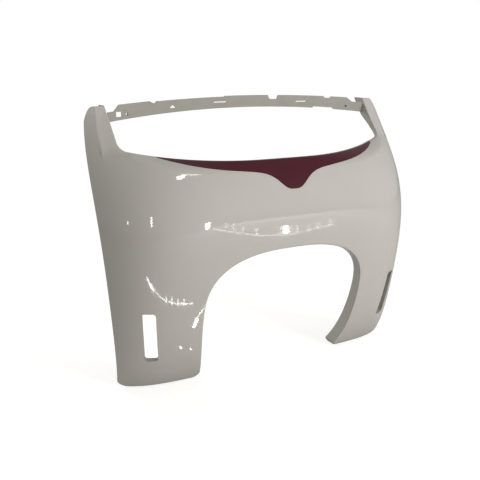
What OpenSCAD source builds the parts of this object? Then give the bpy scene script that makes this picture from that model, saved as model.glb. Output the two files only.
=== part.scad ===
// Front panel of a scooter: one moulded plastic shell with a wheel arch below,
// a wide opening above it, a rear rim that ties the two pillars together,
// and a thin coloured film along the lower edge of the opening.
// Front faces -Y, up is +Z, and the origin is under the middle of the box.

/* [Shell] */
// Height from the foot of the legs to the top of the pillars
panel_h = 547; // [535:1:560]
// Half width of the shell at the foot
foot_half_w = 328.5; // [322:0.5:334]
// Half width that the wings swell towards at mid height
waist_half_w = 348; // [342:0.5:354]
// Half width of the shell at the top
top_half_w = 342; // [336:0.5:348]
// Wall of the moulding
wall = 2.5; // [2:0.1:3]
// Roundness of every moulded edge
edge_r = 4; // [3.8:0.1:5]

/* [Opening] */
// Height of the opening, from the hood's edge at the middle to the pillar tops
opening_h = 101; // [97:0.5:106]
// Rise of the hood's edge from the middle to the pillars
hood_rise = 20; // [16:0.5:24]
// How far the hood is laid back from the skin beside the middle
hood_setback = 22; // [16:0.5:26]
// Width of a pillar
pillar_w = 38; // [34:0.5:42]
// Radius where the hood turns up into a pillar
opening_corner_r = 16; // [12:0.5:20]
// Depth of the return behind the hood's edge
hood_return = 9; // [6:0.5:12]
// Depth of the return behind a pillar's inner edge, at its foot
pillar_return_foot = 18; // [12:0.5:22]
// Depth of the return behind a pillar's inner edge, at its top
pillar_return_top = 30; // [26:0.5:34]

/* [Wheel arch] */
// Half width of the arch at its widest
arch_half_w = 184; // [176:0.5:190]
// Height of the widest point
arch_wide_z = 154; // [145:1:160]
// Height of the arch's top
arch_top_z = 275; // [265:1:285]
// How far each side leans in from the widest point down to the foot
arch_toe_in = 16; // [8:0.5:20]
// Radius between the side of the arch and the foot
foot_corner_r = 14; // [10:0.5:18]
// Depth of the arch's return at its top
arch_return_top = 18; // [12:0.5:24]
// Depth of the arch's return at its widest point
arch_return_mid = 34; // [24:0.5:38]
// Depth of the arch's return at the foot
arch_return_foot = 48; // [36:0.5:52]

/* [Reflector slots] */
// Width of a slot
slot_w = 26.5; // [20:0.5:30]
// Height of a slot
slot_h = 107.5; // [80:0.5:112]
// Radius of a slot's corners
slot_r = 6; // [2:0.5:8]
// Distance of a slot's middle from the mid-plane
slot_x = 285; // [280:0.5:288]
// Height of a slot's middle
slot_z = 119.5; // [112:0.5:126]
// Depth of the collar behind a slot
slot_collar = 15; // [12:0.5:18]

/* [Rear rim] */
// How far the rim's lower edge lies below the pillar tops at the middle
rim_below = 13; // [11:0.5:15]
// How far the rim's upper edge rises above the pillar tops at the middle
rim_above = 11.5; // [9:0.5:15]
// Drop of the rim's lower edge from the middle to the pillars
rim_low_drop = 19; // [16:0.5:20]
// Drop of the rim's upper edge from the middle to the pillars
rim_high_drop = 13; // [11:0.5:15]
// Distance behind the origin of the rim's front face at the pillars
rim_end_y = 78; // [75:0.5:81]
// How far the rim bows back at the middle
rim_bow = 22; // [16:0.5:28]

/* [Fixings] */
// Distance from a screw hole in the rim to the rim's end
rim_screw_inset = 44.8; // [42:0.2:48]
// How far the screw holes lie below the pillar tops
rim_screw_below = 17.5; // [16:0.5:19]
// Radius of the screw holes in the rim
rim_screw_r = 2.5; // [2:0.1:2.8]
// Distance between the two pin sockets behind the skin
socket_spacing = 430; // [424:1:436]
// Height of the pin sockets
socket_z = 250; // [245:1:256]
// Radius of the pin sockets' bores
socket_r = 2.5; // [2:0.1:2.8]
// Depth of the pin sockets' bores
socket_depth = 12; // [8:0.5:14]
// Wall of every round boss
boss_wall = 2.8; // [2.4:0.1:3.2]

/* [Film] */
// Thickness of the coloured film
film_t = 0.4; // [0.3:0.05:0.6]
// Glue line between the film and the skin
film_gap = 0.15; // [0.1:0.05:0.25]
// Half width of the film
film_half_w = 250; // [240:1:256]
// How far the film hangs below the hood's edge at the middle
film_drop = 56; // [50:0.5:60]
// How far the film hangs below the hood's edge beside the middle
film_band = 17; // [14:0.5:20]
// Half width of the film's hanging middle
film_tab_half_w = 38; // [32:0.5:44]

/* [Hidden] */

// Profiles of the skin from the foot to the top, as control values of Bezier curves:
// the foremost line, the rear edge, the half width and the power of the plan
front_profile = [-17, -99, -75, -114, -165, -94, 17];
rear_profile = [20.3, -35.2, 29.4, -94.3, 64.1, 93];
width_profile = [foot_half_w, foot_half_w + 11, waist_half_w, waist_half_w + 13,
                 top_half_w + 29, top_half_w];
power_profile = [7.4, 6.9, 5.2, 2.6];

// Columns of the skin, from the mid-plane to the rear edge of one side
col_arch = 15;
col_foot = 19;
col_bend = 22;
col_inner_top = 28;
col_outer_top = 30;
col_rear = 36;
// Rows of the skin between the crease and the lower edge
rows_main = 15;

function lerp(a, b, t) = a * (1 - t) + b * t;
function part_of(k, k0, k1) = min(1, max(0, (k - k0) / (k1 - k0)));
function smooth(t) = t * t * (3 - 2 * t);
function unit(v) = v / norm(v);
function bezier(q, t) = len(q) == 1 ? q[0]
    : bezier([for (i = [0:len(q) - 2]) lerp(q[i], q[i + 1], t)], t);

function front_y(z) = bezier(front_profile, z / panel_h);
function rear_y(z) = bezier(rear_profile, z / panel_h);
function half_w(z) = bezier(width_profile, z / panel_h);
function power_n(z) = bezier(power_profile, z / panel_h);

// The skin: at each height the plan swings back from the nose (s = 0) to the
// rear edge of the wing (s = 1) with a power of the distance from the mid-plane
function skin(s, z) =
    [half_w(z) * s, lerp(front_y(z), rear_y(z), pow(s, power_n(z))), z];
// The place s on the skin of a distance x from the mid-plane
function skin_s(x, z) = min(1, x / half_w(z));
// Depth of the skin at x and z
function skin_y(x, z) = skin(skin_s(x, z), z)[1];
function skin_normal(s, z) =
    let (d = 0.004, a = skin(min(1, s + d), z) - skin(max(0, s - d), z),
         b = skin(s, z + 1) - skin(s, z - 1))
    unit(cross(a, b));

// Upper edge of the hood and of the crease under it, as heights over x
opening_half_w = top_half_w - pillar_w;
corner_turn = 78;
pillar_foot_x = opening_half_w - opening_corner_r * (1 - cos(corner_turn));
hood_z = panel_h - opening_h;
crease_drop = 23;
crease_rise = 31.4;
function hood_edge_z(x) = hood_z + hood_rise * pow(x / pillar_foot_x, 3.2);
function crease_z(x) = hood_z - crease_drop + crease_rise * pow(x / pillar_foot_x, 3.6);
// How far the hood lies behind the skin at its edge
setback_from = 0.2 * pillar_foot_x;
setback_full = 0.77 * pillar_foot_x;
setback_fade = 0.84 * pillar_foot_x;
pillar_setback_foot = 12;
pillar_setback_top = 8;
function setback(x) =
    lerp(2, hood_setback, smooth(part_of(x, setback_from, setback_full)))
    - (hood_setback - pillar_setback_foot) * smooth(part_of(x, setback_fade, pillar_foot_x));

// Edge of the opening for column k, as x and z, up to the pillar's outer corner
pillar_foot_z = hood_z + hood_rise;
pillar_edge_z = pillar_foot_z + opening_corner_r * sin(corner_turn);
hood_run = 0.8 * pillar_foot_x;
pillar_lean = 3;
crease_x = top_half_w - 11.5;
crease_low_z = hood_z + 18;
crease_high_z = panel_h - 31;
function opening_xz(k) =
    k <= col_arch ? let (x = hood_run * k / col_arch) [x, hood_edge_z(x)]
    : k <= col_foot ? let (x = lerp(hood_run, pillar_foot_x, part_of(k, col_arch, col_foot)))
        [x, hood_edge_z(x)]
    : k <= col_bend ? let (a = lerp(-corner_turn, 0, part_of(k, col_foot, col_bend)))
        [opening_half_w + opening_corner_r * (cos(a) - 1),
         pillar_edge_z + opening_corner_r * sin(a)]
    : k <= col_inner_top ? let (t = part_of(k, col_bend, col_inner_top))
        [opening_half_w + pillar_lean * t * t, lerp(pillar_edge_z, panel_h, t)]
    : [lerp(opening_half_w + pillar_lean, crease_x - 4, part_of(k, col_inner_top, col_outer_top)),
       panel_h];
function crease_xz(k) =
    k <= col_foot ? let (x = opening_xz(k)[0]) [x, crease_z(x)]
    : k <= col_bend ? let (t = part_of(k, col_foot, col_bend))
        [lerp(pillar_foot_x, crease_x + 2.5, sin(90 * t)),
         lerp(crease_z(pillar_foot_x), crease_low_z, t * t)]
    : let (t = part_of(k, col_bend, col_outer_top))
        [lerp(crease_x + 2.5, crease_x, t), lerp(crease_low_z, crease_high_z, t)];

// Upper edge of the side wall behind the pillar, as s and z
side_s0 = skin_s(crease_x - 4, panel_h);
side_drop = 25;
side_fall = 22;
function side_top(k) = let (t = part_of(k, col_outer_top, col_rear))
    [lerp(side_s0, 1, t), panel_h - side_drop * pow(t, 2.2)];
function side_low(k) = let (t = part_of(k, col_outer_top, col_rear))
    [lerp(skin_s(crease_x, crease_high_z), 1, t), crease_high_z - side_fall * t];

// Lower edge of the shell for column k, as s and z: half the arch, the foot
// corner, the foot and the round to the rear edge
arch_n = 2.65;
foot_run = 80;
foot_end_x = foot_half_w - 21;
rear_round_z = 14;
foot_corner_x = arch_half_w - arch_toe_in + foot_corner_r;
function lower_edge(k) =
    k <= col_arch ? let (a = 90 * k / col_arch, x = arch_half_w * pow(sin(a), 2 / arch_n),
                         z = lerp(arch_wide_z, arch_top_z, pow(cos(a), 2 / arch_n)))
        [skin_s(x, z), z]
    : k <= col_foot ? let (t = part_of(k, col_arch, col_foot),
                           z = lerp(arch_wide_z, foot_corner_r, t))
        [skin_s(arch_half_w - arch_toe_in * t * t, z), z]
    : k <= col_bend ? let (a = 90 * part_of(k, col_foot, col_bend))
        [skin_s(foot_corner_x - foot_corner_r * cos(a), foot_corner_r * (1 - sin(a))),
         foot_corner_r * (1 - sin(a))]
    : k <= col_inner_top ? let (x = lerp(foot_corner_x, foot_corner_x + foot_run,
                                         part_of(k, col_bend, col_inner_top)))
        [skin_s(x, 0), 0]
    : k <= col_outer_top ? let (x = lerp(foot_corner_x + foot_run, foot_end_x,
                                         part_of(k, col_inner_top, col_outer_top)))
        [skin_s(x, 0), 0]
    : let (t = part_of(k, col_outer_top, col_rear))
        [lerp(skin_s(foot_end_x, 0), 1, sin(90 * t)), rear_round_z * (1 - cos(90 * t))];

// Band between the crease (w = 0) and the opening's edge (w = 1): the hood lies
// back smoothly from the skin, and a pillar's face is ruled from crease to edge
function pillar_setback(k) =
    lerp(pillar_setback_foot, pillar_setback_top, smooth(part_of(k, col_bend, col_inner_top)))
        * (1 - part_of(k, col_inner_top, col_outer_top));
function hood_point(x, z, back, w) = [x, skin_y(x, z) + back * pow(w, 1.7), z];
function band(k, w) =
    k >= col_outer_top ?
        let (a = side_low(k), b = side_top(k)) skin(lerp(a[0], b[0], w), lerp(a[1], b[1], w))
    : let (a = crease_xz(k), b = opening_xz(k), flat = smooth(part_of(k, col_foot - 2, col_bend)),
           back = k <= col_foot ? setback(b[0]) : pillar_setback(k),
           soft = hood_point(lerp(a[0], b[0], w), lerp(a[1], b[1], w), back, w),
           ruled = lerp([a[0], skin_y(a[0], a[1]), a[1]], [b[0], skin_y(b[0], b[1]) + back, b[1]], w))
      lerp(soft, ruled, flat);

// Skin between the crease (w = 0) and the lower edge (w = 1)
function main_skin(k, w) =
    let (c = k >= col_outer_top ? side_low(k)
             : let (q = crease_xz(k)) [skin_s(q[0], q[1]), q[1]],
         b = lower_edge(k))
    skin(lerp(c[0], b[0], w), lerp(c[1], b[1], w));

// Returns behind the edges: direction and depth
function upper_return_dir(k) =
    k <= col_inner_top ? [0, 1, 0]
    : let (q = side_top(max(k, col_outer_top)), v = -skin_normal(q[0], q[1]))
      unit(lerp([0, 1, 0], v, part_of(k, col_inner_top, col_outer_top)));
function upper_return(k) =
    k <= col_foot ? hood_return
    : k <= col_bend ? lerp(hood_return, pillar_return_foot, part_of(k, col_foot, col_bend))
    : k <= col_inner_top ? lerp(pillar_return_foot, pillar_return_top,
                                smooth(part_of(k, col_bend, col_bend + 3)))
    : lerp(pillar_return_top, edge_r + 2, part_of(k, col_inner_top, col_inner_top + 1));
function lower_return_dir(k) =
    k <= col_inner_top ? [0, 1, 0]
    : let (q = lower_edge(k), v = -skin_normal(q[0], q[1]))
      unit(lerp([0, 1, 0], v, part_of(k, col_inner_top, col_outer_top)));
function lower_return(k) =
    k <= col_arch ? lerp(arch_return_top, arch_return_mid, part_of(k, 0, col_arch))
    : k <= col_foot ? lerp(arch_return_mid, arch_return_foot, part_of(k, col_arch, col_foot))
    : lerp(arch_return_foot, edge_r + 2, smooth(part_of(k, col_foot, col_bend)));

// Points of a rounded edge: e is the sharp edge, in and out the unit directions
function edge_round(e, back, on) =
    [for (i = [0:3]) let (t = i / 3)
        e + back * edge_r * (1 - t) * (1 - t) + on * edge_r * t * t];

// One column of the outer surface, from the upper return to the lower return
function column(k) =
    let (top = band(k, 1), top_in = unit(band(k, 0.8) - top), top_dir = upper_return_dir(k),
         low = main_skin(k, 1), low_in = unit(main_skin(k, 0.97) - low),
         low_dir = lower_return_dir(k),
         w_top = 1 - edge_r / norm(band(k, 0) - top),
         w_low = 1 - edge_r / norm(main_skin(k, 0) - low))
    concat([top + top_dir * upper_return(k)],
           edge_round(top, top_dir, top_in),
           [for (i = [2:-1:1]) band(k, w_top * i / 3)],
           [for (i = [0:rows_main]) main_skin(k, w_low * i / (rows_main + 1))],
           edge_round(low, low_in, low_dir),
           [low + low_dir * lower_return(k)]);

function mirrored(p, side) = [side * p[0], p[1], p[2]];
// Unit normal of a grid g at column i and row j, pointing out of the shell
function grid_normal(g, i, j) =
    let (ni = len(g) - 1, nj = len(g[0]) - 1,
         a = i > 0 ? unit(g[i][j] - g[i - 1][j]) : [0, 0, 0],
         b = i < ni ? unit(g[i + 1][j] - g[i][j]) : [0, 0, 0],
         c = j > 0 ? unit(g[i][j] - g[i][j - 1]) : [0, 0, 0],
         d = j < nj ? unit(g[i][j + 1] - g[i][j]) : [0, 0, 0])
    unit(cross(c + d, a + b));

// Closed sheet between the grid raised by a and the grid raised by b
module sheet(g, a, b) {
    nc = len(g);
    nr = len(g[0]);
    count = nc * nr;
    normals = [for (i = [0:nc - 1]) [for (j = [0:nr - 1]) grid_normal(g, i, j)]];
    points = [for (r = [a, b]) for (i = [0:nc - 1]) for (j = [0:nr - 1]) g[i][j] + normals[i][j] * r];
    quads = concat(
        [for (i = [0:nc - 2]) for (j = [0:nr - 2])
            let (p = i * nr + j) [p, p + nr, p + nr + 1, p + 1]],
        [for (i = [0:nc - 2]) for (j = [0:nr - 2])
            let (p = count + i * nr + j) [p, p + 1, p + nr + 1, p + nr]],
        [for (i = [0:nc - 2]) for (e = [0, 1])
            let (p = i * nr + e * (nr - 1), q = p + nr)
            e == 0 ? [p, p + count, q + count, q] : [q, q + count, p + count, p]],
        [for (j = [0:nr - 2]) for (e = [0, 1])
            let (p = e * (nc - 1) * nr + j, q = p + 1)
            e == 1 ? [p, p + count, q + count, q] : [q, q + count, p + count, p]]);
    polyhedron(points, [for (f = quads) each [[f[0], f[1], f[2]], [f[0], f[2], f[3]]]]);
}

// The moulded sheet with its returns
module shell() {
    half = [for (k = [0:col_rear]) column(k)];
    grid = [for (k = [-col_rear:col_rear]) [for (p = half[abs(k)]) mirrored(p, k < 0 ? -1 : 1)]];
    sheet(grid, 0, -wall);
}

// Rear rim: an upright strip that bows back between the pillars
rim_end_x = opening_half_w + 2.8;
rim_plan_r = (rim_end_x * rim_end_x + rim_bow * rim_bow) / (2 * rim_bow);
function rim_y(x) = rim_end_y + rim_bow - rim_plan_r + sqrt(rim_plan_r * rim_plan_r - x * x);
function rim_low(x) = panel_h - rim_below - rim_low_drop * pow(x / rim_end_x, 2);
function rim_high(x) = panel_h + rim_above - rim_high_drop * pow(x / rim_end_x, 2);

// Notches of the rim's upper edge: centre as a share of the half length, half length,
// length of each sloping end and depth
rim_notches = [[-0.662, 0, 9, 5], [-0.385, 76, 1, 1.5], [0.249, 8.5, 4, 8.5],
               [0.696, 6.5, 2.5, 3.5], [-1, 16.8, 11, 11.5], [1, 28.8, 14, 9],
               [-1, 0, 14, 18], [1, 0, 14, 15]];
// The cut-out in its lower edge, described in the same way
rim_cut_out = [0.662, 24, 3, 3];
function notch(x, q) = q[3] * part_of(q[1] + q[2] - abs(x - q[0] * rim_end_x), 0, q[2]);

module rim_outline() {
    steps = 86;
    xs = [for (i = [-steps:steps]) rim_end_x * i / steps];
    low = [for (x = xs) [x, rim_low(x) + notch(x, rim_cut_out)]];
    high = [for (x = xs) [x, rim_high(x) - max([for (q = rim_notches) notch(x, q)])]];
    polygon(concat(low, [for (i = [len(xs) - 1:-1:0]) high[i]]));
}

// Windows through the rim: a rectangle, a triangle and two thin slots
module rim_windows() {
    top = rim_screw_z;
    translate([-0.911 * rim_end_x, top]) square([11, 9.4], center = true);
    polygon([[-0.551 * rim_end_x, top + 8], [-0.504 * rim_end_x, top + 8],
             [-0.527 * rim_end_x, top + 14]]);
    translate([-0.169 * rim_end_x, top + 16.5]) square([30, 2], center = true);
    translate([0.479 * rim_end_x, top + 13]) square([26, 2], center = true);
}

module along_y(y0, y1) {
    translate([0, y1, 0]) rotate([90, 0, 0]) linear_extrude(y1 - y0) children();
}

module rim() {
    intersection() {
        translate([0, rim_end_y + rim_bow - rim_plan_r, 0]) difference() {
            cylinder(h = 2 * panel_h, r = rim_plan_r + wall, $fn = 720);
            translate([0, 0, -1]) cylinder(h = 2 * panel_h + 2, r = rim_plan_r, $fn = 720);
        }
        along_y(rim_end_y - 5, rim_end_y + rim_bow + 10) difference() {
            rim_outline();
            rim_windows();
        }
    }
}

// Round boss along Y, with its bore cut by boss_bore
module boss(x, z, y0, y1, r) {
    translate([x, y1, z]) rotate([90, 0, 0]) cylinder(h = y1 - y0, r = r + boss_wall, $fn = 32);
}
module boss_bore(x, z, y0, y1, r) {
    translate([x, y1, z]) rotate([90, 0, 0]) cylinder(h = y1 - y0, r = r, $fn = 32);
}

rim_screw_x = rim_end_x - rim_screw_inset;
rim_screw_z = panel_h - rim_screw_below;
socket_x = socket_spacing / 2;
socket_y = skin_y(socket_x, socket_z) + 1.2;
socket_len = socket_depth + 4;

// Frame of a reflector slot: Z points out of the skin where the slot sits
slot_out = skin_normal(skin_s(slot_x, slot_z), slot_z);
module at_slot() {
    translate([slot_x, skin_y(slot_x, slot_z), slot_z])
        rotate([0, 0, atan2(slot_out[0], -slot_out[1])])
        rotate([90 + asin(-slot_out[2]), 0, 0]) children();
}
// Bar with rounded corners from z0 to z1, as large as the slot grown by grow
module slot_bar(grow, z0, z1) {
    r = slot_r + grow;
    w = slot_w + 2 * grow;
    h = slot_h + 2 * grow;
    translate([0, 0, z0]) {
        translate([r - w / 2, -h / 2, 0]) cube([w - 2 * r, h, z1 - z0]);
        translate([-w / 2, r - h / 2, 0]) cube([w, h - 2 * r, z1 - z0]);
        for (x = [-1, 1], y = [-1, 1])
            translate([x * (w / 2 - r), y * (h / 2 - r), 0])
                cylinder(h = z1 - z0, r = r, $fn = 24);
    }
}
module reflector_slot() {
    reach = 40;
    at_slot() slot_bar(0, -reach, reach);
}
// Collar behind a slot, in slices that start inside the curved wall: each holds
// how far it begins and ends from the slot's middle, as a share, and its start
collar_slices = [[0, 0.34, 1.3], [0.34, 0.67, 2.1], [0.67, 1.2, 3.6]];
module reflector_collar() {
    half = slot_h / 2;
    at_slot() for (q = collar_slices) intersection() {
        slot_bar(wall, -slot_collar, -q[2]);
        for (side = [-1, 1]) translate([0, side * half * (q[0] + q[1]) / 2, -slot_collar / 2])
            cube([2 * slot_w, half * (q[1] - q[0]) + 0.02, 2 * slot_collar], center = true);
    }
}

module front_panel() {
    color([0.72, 0.705, 0.67]) difference() {
        union() {
            shell();
            rim();
            for (side = [-1, 1]) {
                boss(side * rim_screw_x, rim_screw_z, rim_y(rim_screw_x) - 1,
                     rim_y(rim_screw_x) + 8, rim_screw_r);
                boss(side * socket_x, socket_z, socket_y, socket_y + socket_len, socket_r);
                mirror([side < 0 ? 1 : 0, 0, 0]) reflector_collar();
            }
        }
        for (side = [-1, 1]) {
            mirror([side < 0 ? 1 : 0, 0, 0]) reflector_slot();
            boss_bore(side * rim_screw_x, rim_screw_z, rim_y(rim_screw_x) - 10,
                      rim_y(rim_screw_x) + 20, rim_screw_r);
            boss_bore(side * socket_x, socket_z, socket_y + socket_len - socket_depth,
                      socket_y + socket_len + 1, socket_r);
        }
    }
}

// Coloured film: follows the hood from its edge down to a wavy lower edge
function film_low_z(x) =
    let (tab = pow(max(0, cos(90 * min(1, x / (film_tab_half_w * 1.9)))), 2.2),
         ends = pow(x / film_half_w, 5))
    lerp(hood_edge_z(x) - lerp(film_band, film_drop, tab), hood_edge_z(x) - edge_r - 1, ends);
function hood_surface(x, z) =
    let (w = part_of(z, crease_z(x), hood_edge_z(x)))
    [x, skin_y(x, z) + setback(x) * pow(w, 1.7), z];

module decal_film() {
    cols = 26;
    rows = 10;
    half = [for (k = [0:cols])
        let (x = film_half_w * k / cols, top = hood_edge_z(x) - edge_r * 0.7, low = film_low_z(x))
        [for (j = [0:rows]) hood_surface(x, lerp(top, low, j / rows))]];
    grid = [for (k = [-cols:cols]) [for (p = half[abs(k)]) mirrored(p, k < 0 ? -1 : 1)]];
    color([0.29, 0.1, 0.14]) sheet(grid, film_gap + film_t, film_gap);
}

front_panel();
decal_film();
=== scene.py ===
"""Scooter front panel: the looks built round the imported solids.

The panel is one glossy moulding with a wheel arch, an upper opening and a rear rim,
and a thin maroon film lies along the lower edge of the opening.
"""

import bmesh
import bpy
import numpy as np
from mathutils import Matrix, Vector


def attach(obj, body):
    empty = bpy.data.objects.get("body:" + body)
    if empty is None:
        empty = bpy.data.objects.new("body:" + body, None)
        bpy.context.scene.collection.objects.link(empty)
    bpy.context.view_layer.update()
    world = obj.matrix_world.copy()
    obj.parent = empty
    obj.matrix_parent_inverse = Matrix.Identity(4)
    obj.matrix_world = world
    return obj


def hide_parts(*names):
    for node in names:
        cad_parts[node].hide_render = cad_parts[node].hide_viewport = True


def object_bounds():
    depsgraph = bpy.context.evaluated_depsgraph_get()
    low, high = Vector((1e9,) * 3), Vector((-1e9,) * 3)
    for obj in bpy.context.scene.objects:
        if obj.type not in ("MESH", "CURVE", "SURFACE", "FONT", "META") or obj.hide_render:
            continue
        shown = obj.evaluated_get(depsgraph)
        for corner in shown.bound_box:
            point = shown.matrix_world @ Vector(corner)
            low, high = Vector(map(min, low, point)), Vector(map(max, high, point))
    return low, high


bl_info = {
    "name": "Scooter Front Panel",
    "version": (1, 0, 0),
    "blender": (4, 5, 0),
    "location": "View3D > Sidebar > Front Panel",
    "description": "Builds the moulded front panel, its rim, its film and the studio",
    "category": "Add Mesh",
}

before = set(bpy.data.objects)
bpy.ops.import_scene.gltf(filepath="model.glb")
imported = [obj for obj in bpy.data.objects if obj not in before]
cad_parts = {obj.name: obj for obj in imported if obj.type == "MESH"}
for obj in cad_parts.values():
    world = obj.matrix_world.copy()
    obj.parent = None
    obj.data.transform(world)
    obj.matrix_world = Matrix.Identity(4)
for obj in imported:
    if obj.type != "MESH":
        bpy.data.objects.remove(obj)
CAD_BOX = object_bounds()

MM = 0.001

# Columns of the shell, counted from the mid-plane to the rear edge of one side
ARCH, FOOT, BEND, INNER_TOP, OUTER_TOP, REAR = 15, 19, 22, 28, 30, 36
# Rows of each column's parts, and the grids' other counts
RETURN_ROWS, EDGE_ROWS, BAND_ROWS, MAIN_ROWS = 4, 8, 25, 90
FILM_COLUMNS, FILM_ROWS, FILM_EDGE_ROWS = 301, 36, 11
RIM_COLUMNS, TURNED_SIDES = 760, 48

# Reflector slots: size and corner radius, place of the middle, how far a cutter reaches both
# ways, how deep a collar starts inside the wall, and where it ends behind the skin
SLOT_W, SLOT_H, SLOT_R = 26.5, 107.5, 6.0
SLOT_X, SLOT_Z = 285.0, 119.5
SLOT_CUT, COLLAR_TUCK, COLLAR_END = 20.0, 1.3, 15.0

# Rear rim: end, end of the plan arc, bow, heights of both edges at the middle and their fall
RIM_END_X, RIM_END_Y, RIM_BOW = 306.8, 78.0, 22.0
RIM_LOW_Z, RIM_LOW_FALL, RIM_HIGH_Z, RIM_HIGH_FALL = 534.0, 19.0, 558.5, 13.0
RIM_CHAMFER = 0.6
# Notches of its upper edge: centre as a share of the half length, half length of the level
# floor, length of each sloping end, and depth
RIM_NOTCHES = (
    (-0.662, 0.0, 9.0, 5.0), (-0.385, 76.0, 1.0, 1.5), (0.249, 8.5, 4.0, 8.5),
    (0.696, 6.5, 2.5, 3.5), (-1.0, 16.8, 11.0, 11.5), (1.0, 28.8, 14.0, 9.0),
    (-1.0, 0.0, 14.0, 18.0), (1.0, 0.0, 14.0, 15.0))
RIM_CUT_OUT = (0.662, 24.0, 3.0, 3.0)
# Windows: left, right, low and high edge; then the corners of the three-sided one, and how
# far in y the cutters reach
RIM_WINDOWS = ((-285.0, -274.0, 524.8, 534.2), (-67.0, -37.0, 545.0, 547.0),
               (134.0, 160.0, 541.5, 543.5))
RIM_TRIANGLE = ((-169.0, 537.5), (-154.6, 537.5), (-161.7, 543.5))
RIM_CUT_Y = (70.0, 110.0)

# Bosses: bore, outer radius and chamfer of the mouth; screw bosses and pin sockets in place
BORE_R, BOSS_R, BOSS_CHAMFER = 2.5, 5.3, 0.4
SCREW_X, SCREW_Z, SCREW_SINK, SCREW_LENGTH = 262.0, 529.5, 1.0, 8.0
PIN_X, PIN_Z, PIN_SINK, PIN_FLOOR, PIN_LENGTH = 215.0, 250.0, 1.2, 4.0, 16.0

# Film: half length, how far it was laid to the right, breadth of the band at the middle and
# at its ends, drop and half width of the tab, and how its two faces stand off the skin
FILM_HALF_W, FILM_SHIFT = 250.0, 4.5
FILM_BAND_MID, FILM_BAND_END, FILM_TAB_DROP, FILM_TAB_HALF_W = 18.5, 1.0, 37.0, 35.7
FILM_OVER, FILM_UNDER = 0.45, 0.05

# Camera in metres, and its focal length; the photograph's middle and focal length in pixels
CAMERA_PLACE, CAMERA_AIM = (-0.73334, -1.21816, 0.62806), (0.0, 0.1081, 0.2412)
CAMERA_LENS, SENSOR_WIDTH = 52.5, 36.0
PHOTO_MID = 240.0
PHOTO_FOCAL = 2 * PHOTO_MID * CAMERA_LENS / SENSOR_WIDTH
FLOOR_HALF_W = 6000.0


def srgb(code):
    """A hex sRGB colour as linear red, green and blue."""
    c = np.array([int(code[i:i + 2], 16) for i in (1, 3, 5)]) / 255.0
    return tuple(float(v) for v in np.where(c <= 0.04045, c / 12.92, ((c + 0.055) / 1.055) ** 2.4))


# Settings


class ShellSizes(bpy.types.PropertyGroup):
    """Sizes of the moulded shell"""

    height: bpy.props.FloatProperty(
        name="Height", description="From the foot of the legs to the top of the pillars",
        default=0.547, unit="LENGTH", subtype="DISTANCE")
    foot_half_width: bpy.props.FloatProperty(
        name="Foot Half Width", description="Half width of the shell at the foot",
        default=0.3285, unit="LENGTH", subtype="DISTANCE")
    waist_half_width: bpy.props.FloatProperty(
        name="Waist Half Width", description="Half width that the wings swell towards at mid height",
        default=0.348, unit="LENGTH", subtype="DISTANCE")
    top_half_width: bpy.props.FloatProperty(
        name="Top Half Width", description="Half width of the shell at the top",
        default=0.342, unit="LENGTH", subtype="DISTANCE")
    wall: bpy.props.FloatProperty(
        name="Wall", description="Wall of the moulding",
        default=0.0025, unit="LENGTH", subtype="DISTANCE")
    edge_radius: bpy.props.FloatProperty(
        name="Edge Radius", description="Roundness of every moulded edge",
        default=0.004, unit="LENGTH", subtype="DISTANCE")


class Finishes(bpy.types.PropertyGroup):
    """Colours of the panel and its film, in linear light"""

    shell_colour: bpy.props.FloatVectorProperty(
        name="Shell Colour", description="Colour moulded into the panel",
        subtype="COLOR", size=3, min=0.0, max=1.0, default=srgb("#B6B2AC"))
    film_colour: bpy.props.FloatVectorProperty(
        name="Film Colour", description="Colour of the film along the opening",
        subtype="COLOR", size=3, min=0.0, max=1.0, default=srgb("#451621"))


class StudioLight(bpy.types.PropertyGroup):
    """Strength of the studio's lamps"""

    key_power: bpy.props.FloatProperty(
        name="Key Power", description="Power of the large lamp in front and to the right",
        default=68.0, min=0.0, unit="POWER")
    world_strength: bpy.props.FloatProperty(
        name="Room Strength", description="Strength of the light from the whole room",
        default=0.42, min=0.0)


# Small helpers


def lerp(a, b, t):
    """a at t = 0, b at t = 1, in a straight line between."""
    return a * (1 - t) + b * t


def part_of(k, k0, k1):
    """How far k has gone from k0 to k1, held between 0 and 1."""
    return np.clip((k - k0) / (k1 - k0), 0.0, 1.0)


def ease(t):
    """The cubic 3 t^2 - 2 t^3, level at both ends."""
    return t * t * (3 - 2 * t)


def unit(v):
    """Vectors of length 1 along the last axis."""
    return v / np.maximum(np.linalg.norm(v, axis=-1, keepdims=True), 1e-12)


def cos_deg(a):
    """Cosine of an angle in degrees."""
    return np.cos(np.radians(a))


def sin_deg(a):
    """Sine of an angle in degrees."""
    return np.sin(np.radians(a))


def bezier(values, t):
    """A Bezier curve over t through repeated straight-line blends of its control values."""
    q = [np.asarray(v, float) for v in values]
    while len(q) > 1:
        q = [lerp(a, b, t) for a, b in zip(q[:-1], q[1:])]
    return q[0]


def points(x, y, z):
    """Three arrays as one array of points."""
    return np.stack(np.broadcast_arrays(x, y, z), axis=-1).astype(float)


# The skin


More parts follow.
